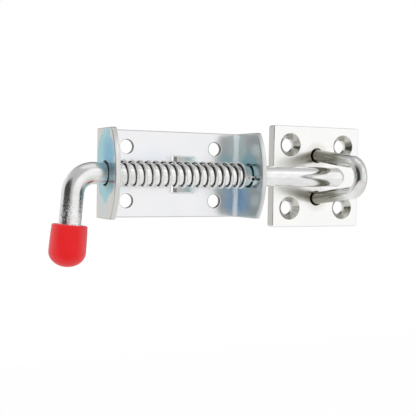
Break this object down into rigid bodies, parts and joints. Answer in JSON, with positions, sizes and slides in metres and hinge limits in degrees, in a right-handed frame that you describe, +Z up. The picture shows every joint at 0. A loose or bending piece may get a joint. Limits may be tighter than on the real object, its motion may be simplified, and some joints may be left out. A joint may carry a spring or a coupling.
{
  "type": "spring bolt",
  "caption": "Spring-loaded round bar bolt in a folded sheet bracket, with a cranked handle, a red plastic cap and a square keeper plate with a staple.",
  "frame": {"origin": "on the back face of the bracket, midway between the two screw holes next to the keeper", "axes": "+X along the bolt towards the keeper, +Y into the door, +Z up; the handle hangs down at the -X end"},
  "size_m": [0.2069, 0.0568, 0.0822],
  "materials": {
    "bracket": "bright zinc plating with blue and teal tints on the folded ends",
    "spring": "bright zinc-plated spring wire",
    "bolt_rod": "bright zinc-plated round bar",
    "roll_pin": "plain spring steel",
    "handle_cap": "moulded red plastic, half gloss",
    "keeper_plate": "pale satin zinc plating",
    "keeper_staple": "bright zinc-plated round bar, a little darker than the plate"
  },
  "bodies": {
    "bracket": {"bracket": "bracket", "keeper_plate": "keeper_plate", "keeper_staple": "keeper_staple"},
    "spring": {"spring": "spring"},
    "bolt": {"bolt_rod": "bolt_rod", "roll_pin": "roll_pin", "handle_cap": "handle_cap"}
  },
  "joints": [
    {"name": "handle_turn", "type": "hinge", "parent": "bracket", "child": "spring", "pos_m": [0.0132, -0.018, 0], "axis": [-1, 0, 0], "range_deg": [-8, 188]},
    {"name": "bolt_slide", "type": "slide", "parent": "spring", "child": "bolt", "axis": [-1, 0, 0], "range_m": [0, 0.047], "stiffness_N_per_m": 1100, "springref_m": -0.015, "deforming": ["spring"]}
  ]
}
